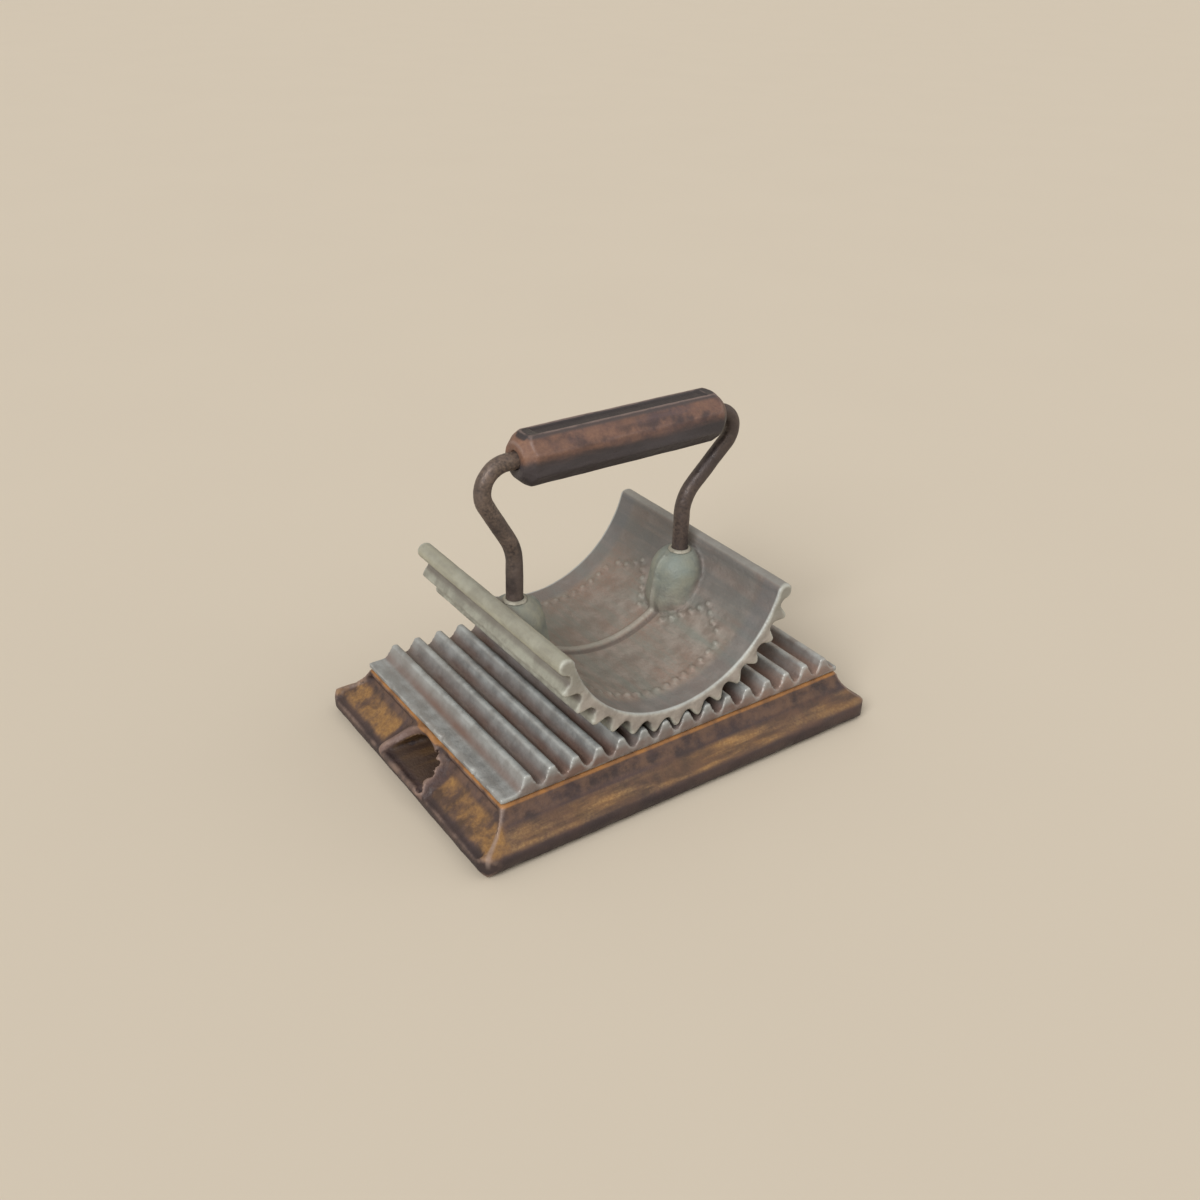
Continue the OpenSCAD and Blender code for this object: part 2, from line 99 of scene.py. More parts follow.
def finish_with(obj, kind, **settings):
    """Adds a modifier with these settings and applies it."""
    modifier = obj.modifiers.new(kind.lower(), kind)
    for name, value in settings.items():
        setattr(modifier, name, value)
    select_only(obj)
    bpy.ops.object.modifier_apply(modifier=modifier.name)


# Camera


def place_camera():
    azimuth, elevation, lean = (math.radians(a) for a in (AZIMUTH, ELEVATION, LEAN))
    level = math.cos(elevation)
    back = Vector((math.sin(azimuth) * level, -math.cos(azimuth) * level, math.sin(elevation)))
    right = Vector((math.cos(azimuth), math.sin(azimuth), 0))
    up = back.cross(right)
    leaning_right = math.cos(lean) * right + math.sin(lean) * up
    leaning_up = math.cos(lean) * up - math.sin(lean) * right
    turn = Matrix((leaning_right, leaning_up, back)).transposed().to_4x4()
    spot = Vector(AIM) * MM + DISTANCE * MM * back
    data = bpy.data.cameras.new("camera")
    data.lens = LENS
    data.sensor_width = 36
    data.clip_start = 0.01
    camera = bpy.data.objects.new("camera", data)
    camera.matrix_world = Matrix.Translation(spot) @ turn
    bpy.context.scene.collection.objects.link(camera)
    bpy.context.scene.camera = camera


# Castings


def casting_copy(node, name):
    """A copy of a CAD node's mesh with its triangles joined up."""
    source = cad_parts[node]
    obj = source.copy()
    obj.data = source.data.copy()
    obj.name = name
    obj.parent = None
    obj.matrix_world = Matrix()
    bpy.context.scene.collection.objects.link(obj)
    obj.data.materials.clear()
    edit(obj)
    bpy.ops.mesh.remove_doubles(threshold=1e-6)
    leave_edit()
    return obj


def lumps(name, size):
    texture = bpy.data.textures.new(name, "CLOUDS")
    texture.noise_scale = size * MM
    texture.noise_depth = 1
    texture.noise_basis = "IMPROVED_PERLIN"
    return texture


def weather(obj, grain, soften, swell, swell_size, pit, pit_size):
    """Rounds the edges of a casting and gives it an uneven sand-cast skin, but keeps its foot flat."""
    finish_with(obj, "REMESH", mode="VOXEL", voxel_size=grain * MM, use_smooth_shade=True)
    finish_with(obj, "SMOOTH", factor=0.5, iterations=soften)
    skin = obj.vertex_groups.new(name="skin")
    skin.add([v.index for v in obj.data.vertices if v.co.z > FOOT_Z * MM], 1, "REPLACE")
    for name, strength, size in (("swell", swell, swell_size), ("pits", pit, pit_size)):
        finish_with(obj, "DISPLACE", texture=lumps(f"{obj.name}_{name}", size), vertex_group="skin",
                    texture_coords="LOCAL", strength=strength * MM, mid_level=0.5)


def stands_for(obj, node, body, material):
    obj.data.materials.append(material)
    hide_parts(node)
    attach(obj, body)


def inside_point(angle, y, r):
    """Point of the rocker's hollow at an angle from its bottom, r from the rolling axis."""
    turn = math.radians(angle)
    return Vector((ROCKER_X + r * math.sin(turn), y, ROLL_Z - r * math.cos(turn))) * MM


def along(corners, step):
    """Points spaced evenly along a bent line of (angle, y) corners on the rocker's hollow."""
    per_degree = INNER_R * math.pi / 180
    points = [corners[0]]
    for (a1, y1), (a2, y2) in zip(corners, corners[1:]):
        length = math.hypot((a2 - a1) * per_degree, y2 - y1)
        count = max(1, round(length / step))
        points += [(a1 + (a2 - a1) * i / count, y1 + (y2 - y1) * i / count) for i in range(1, count + 1)]
    return points


def border_beads():
    """Rows of raised beads that frame the two halves of the rocker's hollow."""
    bpy.ops.object.select_all(action="DESELECT")
    bpy.ops.mesh.primitive_uv_sphere_add(segments=12, ring_count=8, radius=BEAD_R * MM)
    bead = bpy.context.object
    edit(bead)
    bpy.ops.transform.resize(value=(1, 1, BEAD_FLATTEN))
    leave_edit()
    copies = []
    border = BORDER_HALF + [(-a, y) for a, y in reversed(BORDER_HALF[:-1])]
    for side in (-1, 1):
        for angle, y in along(border, BEAD_STEP):
            copy = bead.copy()
            copy.data = bead.data.copy()
            copy.location = inside_point(angle, side * y, INNER_R - BEAD_RAISE)
            copy.rotation_euler = (0, -math.radians(angle), 0)
            bpy.context.scene.collection.objects.link(copy)
            copies.append(copy)
    bpy.data.objects.remove(bead)
    return copies


def roll(name, spots, radius, closed=False):
    """A round roll of metal laid along some points."""
    data = bpy.data.curves.new(name, "CURVE")
    data.dimensions = "3D"
    data.bevel_depth = radius * MM
    data.bevel_resolution = 3
    data.use_fill_caps = True
    line = data.splines.new("POLY")
    line.use_cyclic_u = closed
    line.points.add(len(spots) - 1)
    for point, spot in zip(line.points, spots):
        point.co = (*spot, 1)
    obj = bpy.data.objects.new(name, data)
    bpy.context.scene.collection.objects.link(obj)
    select_only(obj)
    bpy.ops.object.convert(target="MESH")
    return bpy.context.object


def boss_seam(side):
    """The thin seam that climbs the inner face of a boss from the rib to the rod."""
    lean = 180 - math.degrees(math.asin((BOSS_ROOT[1] - BOSS_CROWN[1]) / (BOSS_CROWN[0] - BOSS_ROOT[0])))
    path = [(BOSS_ROOT, a) for a in range(205, int(lean), -8)]
    path += [(BOSS_CROWN, a) for a in (lean, 158, 148, 138, 128)]
    spots = [Vector((ROCKER_X + side * (BOSS_X + r * math.cos(math.radians(a))), 0,
                     z + r * math.sin(math.radians(a)))) * MM for (z, r), a in path]
    return roll("seam", spots, SEAM_R)


def on_end(base, y, z):
    """Point of the sloped lifter end of the base at this place across and this height."""
    return base.ray_cast(Vector((RAY_START_X, y, z)) * MM, Vector((1, 0, 0)))[1]


def mouth_point(base, angle, inset=0.0):
    """Point on the rim of the arched mouth, at an angle from its top and moved in towards its middle."""
    turn = math.radians(angle)
    outward = Vector((0, math.sin(turn), math.cos(turn)))
    spot = on_end(base, MOUTH_R * outward.y, MOUTH_Z + MOUTH_R * outward.z)
    return spot - outward * inset * MM


def mouth_roll(base):
    """The rolled rim round the arched mouth of the lifter pocket and along its sill."""
    arch = [mouth_point(base, angle) for angle in range(2 - MOUTH_HALF_ANGLE, MOUTH_HALF_ANGLE, 4)]
    sill_z = MOUTH_Z + MOUTH_R * math.cos(math.radians(MOUTH_HALF_ANGLE))
    sill = [on_end(base, y, sill_z) for y in (11, 7, 3, 0, -3, -7, -11)]
    return roll("mouth_roll", arch + sill, MOUTH_ROLL_R, closed=True)


def fuse(obj, other):
    finish_with(obj, "BOOLEAN", object=other, operation="UNION", solver="EXACT")
    bpy.data.objects.remove(other)


def chips(obj, spots):
    """Breaks small chips out of an edge, each given as a place and its three half sizes."""
    for place, size in spots:
        bpy.ops.object.select_all(action="DESELECT")
        bpy.ops.mesh.primitive_ico_sphere_add(subdivisions=2, radius=1)
        cutter = bpy.context.object
        edit(cutter)
        bpy.ops.transform.rotate(value=DAMAGE_TURN, orient_axis="X", center_override=(0, 0, 0))
        bpy.ops.transform.resize(value=[v * MM for v in size])
        bpy.ops.transform.translate(value=Vector(place) * MM)
        leave_edit()
        finish_with(obj, "BOOLEAN", object=cutter, operation="DIFFERENCE", solver="EXACT")
        bpy.data.objects.remove(cutter)


def join_into(obj, others):
    bpy.ops.object.select_all(action="DESELECT")
    for other in others:
        other.select_set(True)
    obj.select_set(True)
    bpy.context.view_layer.objects.active = obj
    bpy.ops.object.join()


# Finishes


def put(tree, kind, sockets=None, **settings):
    """A node with its settings, and its sockets linked or given values."""
    made = tree.nodes.new(kind)
    for name, value in settings.items():
        setattr(made, name, value)
    for name, value in (sockets or {}).items():
        if isinstance(value, bpy.types.NodeSocket):
            tree.links.new(value, made.inputs[name])
        else:
            made.inputs[name].default_value = value
    return made


def calc(tree, operation, a, b=0.0):
    return put(tree, "ShaderNodeMath", {0: a, 1: b}, operation=operation).outputs[0]


def fade(tree, value, low, high):
    """A mask that rises smoothly from 0 at low to 1 at high."""
    made = put(tree, "ShaderNodeMapRange", {"Value": value, "From Min": low, "From Max": high},
               interpolation_type="SMOOTHSTEP")
    return made.outputs[0]


def tint(tree, mask, under, over):
    made = put(tree, "ShaderNodeMix", {0: mask}, data_type="RGBA")
    for socket, colour in ((made.inputs[6], under), (made.inputs[7], over)):
        if isinstance(colour, bpy.types.NodeSocket):
            tree.links.new(colour, socket)
        else:
            socket.default_value = (*colour, 1)
    return made.outputs[2]


def blend_values(tree, mask, low, high):
    made = put(tree, "ShaderNodeMapRange", {"Value": mask, "To Min": low, "To Max": high})
    return made.outputs[0]


def new_group(name, inputs, outputs):
    group = bpy.data.node_groups.new(name, "ShaderNodeTree")
    for socket, kind in inputs:
        group.interface.new_socket(socket, in_out="INPUT", socket_type=kind)
    for socket in outputs:
        group.interface.new_socket(socket, in_out="OUTPUT", socket_type="NodeSocketFloat")
    return group, group.nodes.new("NodeGroupInput"), group.nodes.new("NodeGroupOutput")


def patina_group():
    """Broad clouds, mottling, drawn-out streaks and fine grain of old iron."""
    inputs = [("Vector", "NodeSocketVector"), ("Stretch", "NodeSocketVector")]
    group, given, made = new_group("patina", inputs, ["Broad", "Mottle", "Streak", "Grain"])
    place = given.outputs["Vector"]
    drawn = put(group, "ShaderNodeVectorMath", {0: place, 1: given.outputs["Stretch"]}, operation="MULTIPLY")
    for name, spot, scale, detail, low, high in (
            ("Broad", place, 42, 3, 0.36, 0.66), ("Mottle", place, 190, 5, 0.34, 0.68),
            ("Streak", drawn.outputs[0], 260, 5, 0.38, 0.66), ("Grain", place, 1100, 3, 0.25, 0.75)):
        noise = put(group, "ShaderNodeTexNoise",
                    {"Vector": spot, "Scale": scale, "Detail": detail, "Roughness": 0.58})
        group.links.new(fade(group, noise.outputs[0], low, high), made.inputs[name])
    return group


def wear_and_shade_group():
    """Bright rubbed edges, and dirt with painted shade in the hollows, both read from the bend of the
    surface.
    """
    inputs = [(name, "NodeSocketFloat") for name in ("Mottle", "Start", "Full")]
    group, given, made = new_group("edge_wear_and_hollow_shade", inputs, ["Edge", "Hollow"])
    bend = group.nodes.new("ShaderNodeNewGeometry").outputs["Pointiness"]
    out = calc(group, "SUBTRACT", bend, FLAT_BEND)
    broken = blend_values(group, given.outputs["Mottle"], 0.55, 1.15)
    for name, sign in (("Edge", 1.0), ("Hollow", -1.0)):
        amount = calc(group, "MULTIPLY", calc(group, "MULTIPLY", out, sign), broken)
        mask = put(group, "ShaderNodeMapRange", {"Value": amount, "From Min": given.outputs["Start"],
                                                 "From Max": given.outputs["Full"]},
                   interpolation_type="SMOOTHSTEP").outputs[0]
        group.links.new(mask, made.inputs[name])
    return group


def skin_group():
    """Height of the uneven skin of a casting."""
    inputs = [(name, "NodeSocketFloat") for name in ("Mottle", "Grain")]
    group, given, made = new_group("cast_skin", inputs, ["Height"])
    fine = calc(group, "MULTIPLY", given.outputs["Grain"], 0.35)
    coarse = calc(group, "MULTIPLY", given.outputs["Mottle"], 0.45)
    group.links.new(calc(group, "ADD", fine, coarse), made.inputs["Height"])
    return group


class Finish:
    """A material on Object coordinates, in metres, with the shared patina and skin groups and the group for
    edge wear and painted hollow shade in it.
    """

    def __init__(self, name, metallic, wear=(0.012, 0.05), stretch=(0.15, 1, 1)):
        self.material = bpy.data.materials.new(name)
        self.material.use_nodes = True
        self.tree = self.material.node_tree
        self.shader = self.tree.nodes["Principled BSDF"]
        self.shader.inputs["Metallic"].default_value = metallic
        spot = self.tree.nodes.new("ShaderNodeTexCoord")
        self.place = spot.outputs["Object"]
        facing = put(self.tree, "ShaderNodeSeparateXYZ", {"Vector": spot.outputs["Normal"]})
        self.facing_x = facing.outputs[0]
        patina = put(self.tree, "ShaderNodeGroup", {}, node_tree=PATINA)
        self.tree.links.new(self.place, patina.inputs["Vector"])
        patina.inputs["Stretch"].default_value = stretch
        self.broad, self.mottle, self.streak, self.grain = patina.outputs
        # Rubbed edges, and dirt with painted shade in the hollows
        rubbed = put(self.tree, "ShaderNodeGroup", {}, node_tree=WEAR_AND_SHADE)
        self.tree.links.new(self.mottle, rubbed.inputs["Mottle"])
        rubbed.inputs["Start"].default_value, rubbed.inputs["Full"].default_value = wear
        self.edge, self.hollow = rubbed.outputs["Edge"], rubbed.outputs["Hollow"]
        xyz = put(self.tree, "ShaderNodeSeparateXYZ", {"Vector": self.place})
        self.x, self.y, self.z = xyz.outputs
        self.aside = self.calc("ABSOLUTE", self.y)
        self.colour = None

    def calc(self, operation, a, b=0.0):
        return calc(self.tree, operation, a, b)

    def fade(self, value, low, high):
        return fade(self.tree, value, low, high)

    def both(self, a, b):
        return self.calc("MULTIPLY", a, b)

    def between(self, value, low, high, soft):
        """A mask that is 1 from low to high and fades outside over a soft distance."""
        return self.both(self.fade(value, low - soft, low), self.less(self.fade(value, high, high + soft)))

    def apart(self, a, b):
        return self.calc("SQRT", self.calc("ADD", self.both(a, a), self.both(b, b)))

    def some(self, mask, least):
        """A patchy mask raised so that at least this much is left everywhere."""
        return blend_values(self.tree, mask, least, 1.0)

    def less(self, mask):
        return self.calc("SUBTRACT", 1.0, mask)

    def ground(self, dark, light):
        self.colour = tint(self.tree, self.mottle, dark, light)

    def over(self, mask, colour, strength=1.0):
        mask = self.calc("MULTIPLY", mask, strength) if strength != 1.0 else mask
        self.colour = tint(self.tree, mask, self.colour, colour)

    def done(self, rough, bump):
        """Links the colour, a roughness between two values and the bump of the skin."""
        link = self.tree.links.new
        link(self.colour, self.shader.inputs["Base Color"])
        dull = self.calc("SUBTRACT", self.mottle, self.calc("MULTIPLY", self.edge, EDGE_POLISH))
        link(blend_values(self.tree, dull, *rough), self.shader.inputs["Roughness"])
        skin = put(self.tree, "ShaderNodeGroup", {}, node_tree=SKIN)
        link(self.mottle, skin.inputs["Mottle"])
        link(self.grain, skin.inputs["Grain"])
        height = put(self.tree, "ShaderNodeBump", {"Height": skin.outputs["Height"], "Strength": bump,
                                                   "Distance": SKIN_DEPTH * MM})
        link(height.outputs["Normal"], self.shader.inputs["Normal"])
        return self.material


PATINA, WEAR_AND_SHADE, SKIN = patina_group(), wear_and_shade_group(), skin_group()


def rusted_base():
    f = Finish("rusted_base", metallic=0.1)
    f.ground((0.040, 0.026, 0.025), (0.112, 0.064, 0.047))
    f.over(f.streak, (0.090, 0.058, 0.063), 0.45)
    f.over(f.both(f.broad, f.some(f.streak, 0.4)), (0.036, 0.022, 0.026), 0.6)
    end = f.less(f.fade(f.x, -0.0645, -0.0625))
    # Painted highlight: a golden band low in the cove of the sides, where the top of the bead faces up, and a
    # browner band above it
    sheen_and_wear = f.both(f.both(f.between(f.z, 0.0074, 0.0094, 0.0017), f.less(end)), f.some(f.streak, 0.2))
    sheen_and_wear = f.both(sheen_and_wear, blend_values(f.tree, f.fade(f.x, 0.0150, 0.0560), 1.0, 0.45))
    f.over(f.both(sheen_and_wear, f.some(f.broad, 0.3)), (0.345, 0.175, 0.055), 0.95)
    f.over(f.both(sheen_and_wear, f.both(f.grain, f.some(f.streak, 0.3))), (0.560, 0.360, 0.140), 0.45)
    f.over(f.both(f.between(f.z, 0.0120, 0.0150, 0.0012), f.mottle), (0.190, 0.112, 0.070), 0.5)
    # Orange rust in the two sunken panels
    panel = f.both(f.both(end, f.fade(f.aside, 0.0150, 0.0165)), f.between(f.z, 0.0072, 0.0150, 0.0015))
    f.over(f.both(panel, f.some(f.mottle, 0.2)), (0.270, 0.138, 0.045), 0.85)
    f.over(f.both(panel, f.both(f.broad, f.some(f.streak, 0.2))), (0.085, 0.050, 0.048), 0.7)
    f.over(f.both(panel, f.both(f.mottle, f.grain)), (0.470, 0.270, 0.085), 0.45)
    # Painted shade, darker towards the bottom: the lower part of the bead round the foot, with lighter brown
    # patches in it
    foot = f.less(f.fade(f.z, 0.0048, 0.0070))
    f.over(foot, (0.026, 0.017, 0.020), 0.9)
    f.over(f.both(f.both(foot, f.broad), f.fade(f.z, 0.0015, 0.0045)), (0.130, 0.080, 0.062), 0.4)
    # Pale hips where an end meets a side: rubbed wear with a painted highlight along them
    from_lifter_end = f.calc("DIVIDE", f.calc("ADD", f.x, BASE_HALF_L * MM), LIFTER_END_RUN * MM)
    from_plain_end = f.calc("DIVIDE", f.calc("SUBTRACT", BASE_HALF_L * MM, f.x), PLAIN_END_RUN * MM)
    from_side = f.calc("DIVIDE", f.calc("SUBTRACT", BASE_HALF_W * MM, f.aside), SIDE_RUN * MM)
    from_end = f.calc("MINIMUM", from_lifter_end, from_plain_end)
    off = f.calc("ABSOLUTE", f.calc("SUBTRACT", from_end, from_side))
    hip_sheen_and_wear = f.both(f.less(f.fade(off, 0.03, 0.16)), f.fade(f.z, 0.0030, 0.0060))
    f.over(f.both(hip_sheen_and_wear, f.some(f.mottle, 0.5)), (0.330, 0.250, 0.215), 0.6)
    # Lifter pocket: its rim, painted shade in its depth and a painted highlight on the upper part inside
    mouth = f.apart(f.y, f.calc("SUBTRACT", f.z, MOUTH_Z * MM))
    rim = f.both(f.both(f.between(mouth, 0.0122, 0.0140, 0.0008), end), f.fade(f.z, 0.0040, 0.0052))
    f.over(rim, (0.205, 0.132, 0.112), 0.75)
    pocket_shade = f.both(f.less(f.fade(mouth, 0.0112, 0.0120)), f.between(f.x, -0.0690, -0.0480, 0.0020))
    f.over(pocket_shade, (0.062, 0.037, 0.026), 0.9)
    f.over(f.both(pocket_shade, f.both(f.streak, f.fade(f.z, 0.0050, 0.0100))), (0.300, 0.165, 0.055), 0.8)
    # Dirt and painted shade in the hollows, rubbed edges and the orange line under the bed
    f.over(f.hollow, (0.026, 0.016, 0.018), 0.9)
    f.over(f.edge, (0.300, 0.205, 0.160), 0.5)
    f.over(f.both(f.between(f.z, 0.0156, 0.0180, 0.0006), f.some(f.mottle, 0.5)), (0.430, 0.190, 0.045), 0.8)
    return f.done(rough=(0.48, 0.74), bump=0.55)


def worn_bed():
    f = Finish("worn_bed", metallic=0.25, stretch=(1, 0.1, 1))
    f.ground((0.235, 0.238, 0.233), (0.345, 0.355, 0.350))
    f.over(f.streak, (0.250, 0.228, 0.212), 0.5)
    # Brown valleys, painted shade on the flank of each ridge that faces away from the light, and the reddened
    # plain end
    field = f.between(f.x, -0.0560, 0.0625, 0.0015)
    low = f.both(f.less(f.fade(f.z, 0.0188, 0.0216)), field)
    f.over(f.both(low, f.some(f.broad, 0.55)), (0.170, 0.104, 0.082), 0.95)
    shaded_flank = f.both(f.fade(f.facing_x, 0.2, 0.85), field)
    f.over(f.both(shaded_flank, f.some(f.streak, 0.4)), (0.215, 0.152, 0.125), 0.75)
    reddened = f.both(f.fade(f.x, 0.015, 0.040), field)
    f.over(f.both(reddened, f.some(f.streak, 0.35)), (0.335, 0.225, 0.178), 0.6)
    # Bright crests, rubbed bright and with a painted highlight along their tops
    f.over(f.both(f.fade(f.z, 0.0217, 0.0227), f.some(f.mottle, 0.3)), (0.430, 0.455, 0.450), 0.7)
    # Dirt and painted shade in the hollows
    f.over(f.hollow, (0.065, 0.043, 0.038), 0.6)
    f.over(f.edge, (0.460, 0.480, 0.465), 0.5)
    return f.done(rough=(0.36, 0.60), bump=0.45)


def rocker_iron():
    f = Finish("rocker_iron", metallic=0.2, stretch=(1, 0.1, 1))
    side = f.calc("SUBTRACT", f.x, ROCKER_X * MM)
    down = f.calc("SUBTRACT", f.z, ROLL_Z * MM)
    r = f.apart(side, down)
    # Teeth, valleys and lips
    f.ground((0.245, 0.240, 0.205), (0.365, 0.365, 0.305))
    f.over(f.both(f.less(f.fade(r, 0.0418, 0.0440)), f.some(f.streak, 0.3)), (0.205, 0.172, 0.145), 0.7)
    f.over(f.both(f.fade(f.z, 0.0460, 0.0530), f.some(f.streak, 0.3)), (0.440, 0.432, 0.330), 0.8)
    valley = f.both(f.between(r, 0.0392, 0.0424, 0.0014), f.less(f.fade(f.z, 0.0512, 0.0528)))
    f.over(f.both(valley, f.some(f.streak, 0.5)), (0.130, 0.114, 0.105), 0.85)
    plain_lip = f.both(f.fade(f.z, 0.0500, 0.0540), f.fade(side, 0.0300, 0.0360))
    f.over(plain_lip, (0.235, 0.222, 0.224), 0.65)
    # Flat ends
    face = f.fade(f.aside, 0.0411, 0.0414)
    f.over(f.both(face, f.some(f.mottle, 0.5)), (0.480, 0.430, 0.385), 0.8)
    f.over(f.both(face, f.fade(f.z, 0.0380, 0.0500)), (0.255, 0.250, 0.215), 0.75)
    # Hollow
    inside = f.less(f.fade(r, 0.0384, 0.0390))
    f.over(inside, (0.225, 0.184, 0.155))
    f.over(f.both(inside, f.mottle), (0.365, 0.318, 0.275), 0.8)
    f.over(f.both(inside, f.streak), (0.215, 0.235, 0.205), 0.7)
    f.over(f.both(inside, f.both(f.broad, f.some(f.grain, 0.3))), (0.300, 0.188, 0.140), 0.6)
    right = f.fade(side, 0.0240, 0.0340)
    f.over(f.both(inside, f.both(right, f.some(f.streak, 0.7))), (0.128, 0.122, 0.123), 0.7)
    f.over(f.both(inside, f.between(f.aside, 0.0350, 0.0395, 0.0030)), (0.150, 0.155, 0.162), 0.5)
    # Rib from boss to boss, with a painted shadow along its front side and a painted highlight along its top
    ribbed = f.both(inside, f.less(f.fade(f.calc("ABSOLUTE", side), 0.0230, 0.0250)))
    f.over(f.both(ribbed, f.between(f.y, -0.0026, -0.0016, 0.0006)), (0.090, 0.070, 0.062), 0.55)
    f.over(f.both(ribbed, f.less(f.fade(f.aside, 0.0007, 0.0013))), (0.400, 0.375, 0.320), 0.55)
    # Bosses
    leg = f.calc("SUBTRACT", f.calc("ABSOLUTE", side), BOSS_X * MM)
    boss = f.both(f.less(f.fade(f.apart(leg, f.y), 0.0092, 0.0118)), f.less(f.fade(r, 0.0350, 0.0382)))
    f.over(boss, (0.205, 0.212, 0.182), 0.9)
    f.over(f.both(boss, f.mottle), (0.325, 0.315, 0.235), 0.7)
    f.over(f.both(boss, f.broad), (0.195, 0.262, 0.258), 0.6)
    # Dirt and painted shade in the hollows, and rubbed edges
    f.over(f.hollow, (0.080, 0.060, 0.053), 0.75)
    sheen_and_wear = f.both(f.edge, blend_values(f.tree, inside, 1.0, 0.35))
    f.over(sheen_and_wear, (0.520, 0.535, 0.480), 0.6)
    f.over(f.both(inside, f.fade(f.aside, 0.0402, 0.0408)), (0.560, 0.585, 0.560), 0.8)
    return f.done(rough=(0.52, 0.76), bump=0.5)


def dark_bar():
    f = Finish("dark_bar", metallic=0.35, wear=(0.03, 0.10))
    f.ground((0.050, 0.040, 0.040), (0.120, 0.092, 0.082))
    f.over(f.both(f.broad, f.grain), (0.260, 0.190, 0.145), 0.65)
    f.over(f.both(f.fade(f.x, 0.0150, 0.0300), f.some(f.mottle, 0.5)), (0.036, 0.028, 0.032), 0.55)
    # Dirt and painted shade in the hollows
    f.over(f.hollow, (0.025, 0.018, 0.020), 0.6)
    return f.done(rough=(0.34, 0.58), bump=0.45)


def pale_solder():
    f = Finish("pale_solder", metallic=0.3, wear=(0.02, 0.08))
    f.ground((0.260, 0.244, 0.200), (0.430, 0.412, 0.342))
    f.over(f.both(f.broad, f.grain), (0.220, 0.195, 0.150), 0.6)
    return f.done(rough=(0.40, 0.60), bump=0.5)


def rusted_grip():
    f = Finish("rusted_grip", metallic=0.1, wear=(0.007, 0.030))
    up = f.calc("SUBTRACT", f.z, GRIP_Z * MM)
    f.ground((0.056, 0.035, 0.036), (0.160, 0.086, 0.067))
    f.over(f.streak, (0.105, 0.068, 0.074), 0.65)
    f.over(f.both(f.broad, f.some(f.streak, 0.3)), (0.285, 0.138, 0.068), 0.5)
    f.over(f.both(f.mottle, f.grain), (0.330, 0.190, 0.115), 0.3)
    # Painted shade darkening the lower flats to nearly black, a dark top flat and its sunken panel
    under = f.less(f.fade(f.calc("ADD", up, f.calc("MULTIPLY", f.streak, 0.0012)), -0.0002, 0.0032))
    f.over(under, (0.034, 0.031, 0.037), 0.92)
    f.over(f.both(under, f.streak), (0.085, 0.074, 0.082), 0.4)
    f.over(f.fade(up, 0.0064, 0.0072), (0.058, 0.049, 0.052), 0.85)
    panel = f.both(f.less(f.fade(f.aside, 0.0022, 0.0028)), f.fade(up, 0.0060, 0.0066))
    f.over(panel, (0.030, 0.026, 0.030), 0.9)
    # Dirt and painted shade in the hollows
    f.over(f.hollow, (0.022, 0.016, 0.018), 0.8)
    # Rubbed edges kept to the upper flats, as a painted highlight
    f.over(f.both(f.edge, f.fade(up, 0.0020, 0.0060)), (0.255, 0.185, 0.165), 0.55)
    return f.done(rough=(0.46, 0.70), bump=0.5)


def dull_iron():
    f = Finish("dull_iron", metallic=0.35, wear=(0.03, 0.10))
    f.ground((0.070, 0.055, 0.048), (0.165, 0.130, 0.105))
    f.over(f.broad, (0.150, 0.085, 0.050), 0.5)
    return f.done(rough=(0.40, 0.65), bump=0.4)


# Table and light


def lay_table():
    bpy.ops.object.select_all(action="DESELECT")
    bpy.ops.mesh.primitive_plane_add(size=40)
    table = bpy.context.object
    table.name = "table"
    material = bpy.data.materials.new("pale_table")
    material.use_nodes = True
    tree = material.node_tree
    place = tree.nodes.new("ShaderNodeTexCoord").outputs["Object"]
    cloud = put(tree, "ShaderNodeTexNoise", {"Vector": place, "Scale": 9.0, "Detail": 2.0})
    shader = tree.nodes["Principled BSDF"]
    tree.links.new(tint(tree, cloud.outputs[0], TABLE, PALER_TABLE), shader.inputs["Base Color"])
    shader.inputs["Roughness"].default_value = 0.9
    shader.inputs["Specular IOR Level"].default_value = 0.1
    table.data.materials.append(material)


def add_sun(name, toward, strength, spread):
    data = bpy.data.lights.new(name, "SUN")
    data.energy = strength
    data.angle = math.radians(spread)
    sun = bpy.data.objects.new(name, data)
    sun.rotation_euler = Vector(toward).to_track_quat("Z", "Y").to_euler()
    bpy.context.scene.collection.objects.link(sun)


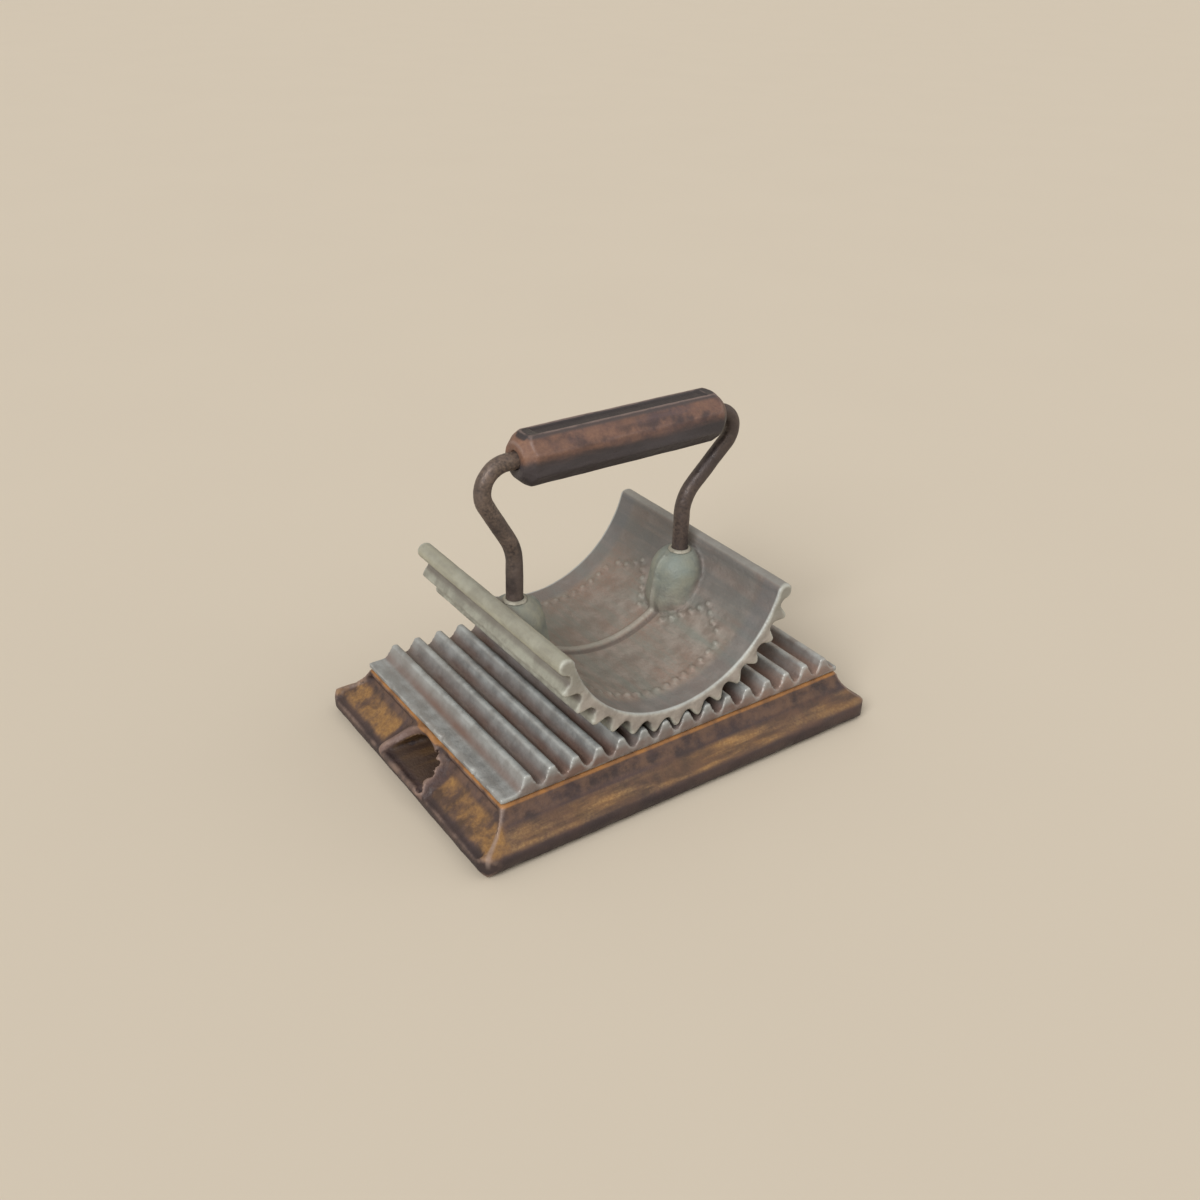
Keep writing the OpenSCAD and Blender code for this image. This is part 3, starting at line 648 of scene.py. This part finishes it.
def light_table():
    add_sun("window", toward=(-0.72, -0.38, 0.66), strength=2.1, spread=30)
    add_sun("room", toward=(0.70, -0.45, 0.55), strength=0.45, spread=60)
    world = bpy.data.worlds.new("daylight")
    world.use_nodes = True
    tree = world.node_tree
    path = tree.nodes.new("ShaderNodeLightPath").outputs
    seen = calc(tree, "MAXIMUM", path["Is Camera Ray"], path["Is Glossy Ray"])
    seen = calc(tree, "MAXIMUM", seen, path["Is Transmission Ray"])
    tree.links.new(tint(tree, seen, DAYLIGHT, TABLE), tree.nodes["Background"].inputs["Color"])
    bpy.context.scene.world = world
    bpy.context.scene.view_settings.view_transform = "Standard"


place_camera()

base = casting_copy("base_casting", "moulded_base")
outward = Vector((-MOUTH_DAMAGE_OUT, 0, 0))
broken = [(mouth_point(base, angle, MOUTH_DAMAGE_INSET) / MM + outward, size) for angle, size in MOUTH_DAMAGE]
fuse(base, mouth_roll(base))
chips(base, broken)
weather(base, grain=0.71, soften=1, swell=0.5, swell_size=14, pit=0.16, pit_size=2.4)
stands_for(base, "base_casting", "base", rusted_base())

bed = casting_copy("bed_plate", "ridged_bed")
chips(bed, [((BED_EDGE_X, y, BED_TOP_Z), size) for y, size in BED_DAMAGE])
weather(bed, grain=0.62, soften=1, swell=0.22, swell_size=9, pit=0.10, pit_size=2.0)
stands_for(bed, "bed_plate", "base", worn_bed())

rocker = casting_copy("rocker_plate", "toothed_rocker")
join_into(rocker, border_beads() + [boss_seam(1), boss_seam(-1)])
weather(rocker, grain=0.585, soften=1, swell=0.22, swell_size=10, pit=0.10, pit_size=2.0)
stands_for(rocker, "rocker_plate", "rocker", rocker_iron())

bar = casting_copy("handle_rod", "bent_bar")
weather(bar, grain=0.48, soften=2, swell=0.30, swell_size=7, pit=0.08, pit_size=1.6)
stands_for(bar, "handle_rod", "rocker", dark_bar())

grip = casting_copy("grip", "cast_grip")
weather(grip, grain=0.52, soften=1, swell=0.25, swell_size=8, pit=0.06, pit_size=1.8)
stands_for(grip, "grip", "rocker", rusted_grip())

rings = casting_copy("foot_rings", "solder_rings")
weather(rings, grain=0.16, soften=2, swell=0.30, swell_size=2.5, pit=0.08, pit_size=0.7)
stands_for(rings, "foot_rings", "rocker", pale_solder())

iron = dull_iron()
for node in ("bed_screws", "grip_pin"):
    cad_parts[node].data.materials.clear()
    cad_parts[node].data.materials.append(iron)

lay_table()
light_table()
